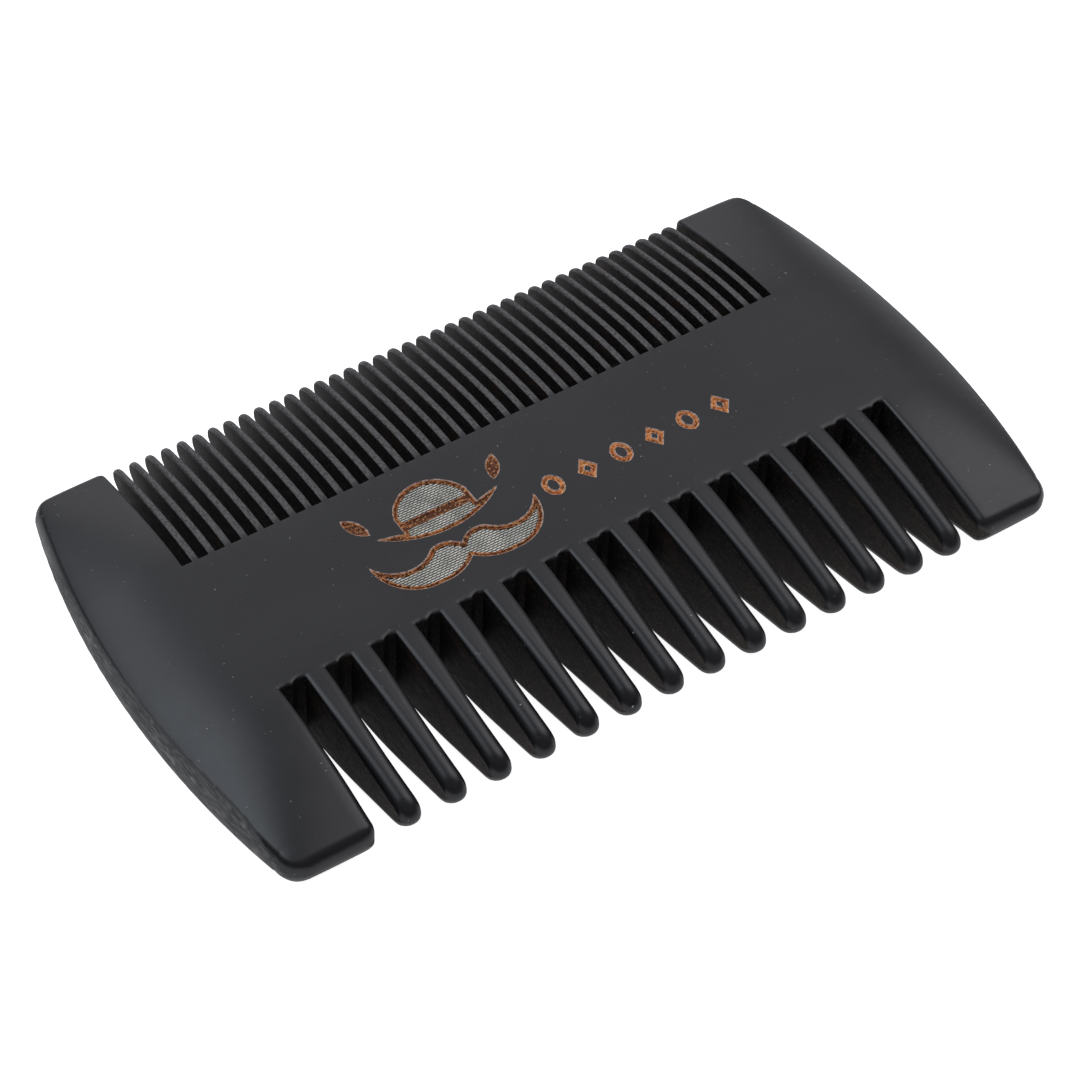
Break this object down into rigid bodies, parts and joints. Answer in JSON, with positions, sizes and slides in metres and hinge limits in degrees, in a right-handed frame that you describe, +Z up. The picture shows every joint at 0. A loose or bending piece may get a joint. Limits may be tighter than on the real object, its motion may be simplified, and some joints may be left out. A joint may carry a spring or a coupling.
{
  "type": "beard comb",
  "caption": "Double-sided wooden beard comb with coarse and fine teeth, rounded ends and an engraved ornament on one face.",
  "frame": {"origin": "centre of the bottom face's plane, under the middle of the comb's bounding box", "axes": "+X along the comb, +Y out of the fine teeth, +Z up out of the engraved face"},
  "size_m": [0.1006, 0.0568, 0.0088],
  "materials": {
    "lacquered_wood": "satin black lacquer over dark-dyed wood",
    "scorched_wood": "laser-scorched copper-brown wood, dull",
    "hatched_wood": "pale laser-hatched wood, dull"
  },
  "bodies": {
    "root": {"comb_body": "lacquered_wood", "motif_scorched_lines": "scorched_wood", "small_scorched_ornaments": "scorched_wood", "motif_hatched_wood": "hatched_wood"}
  },
  "joints": []
}
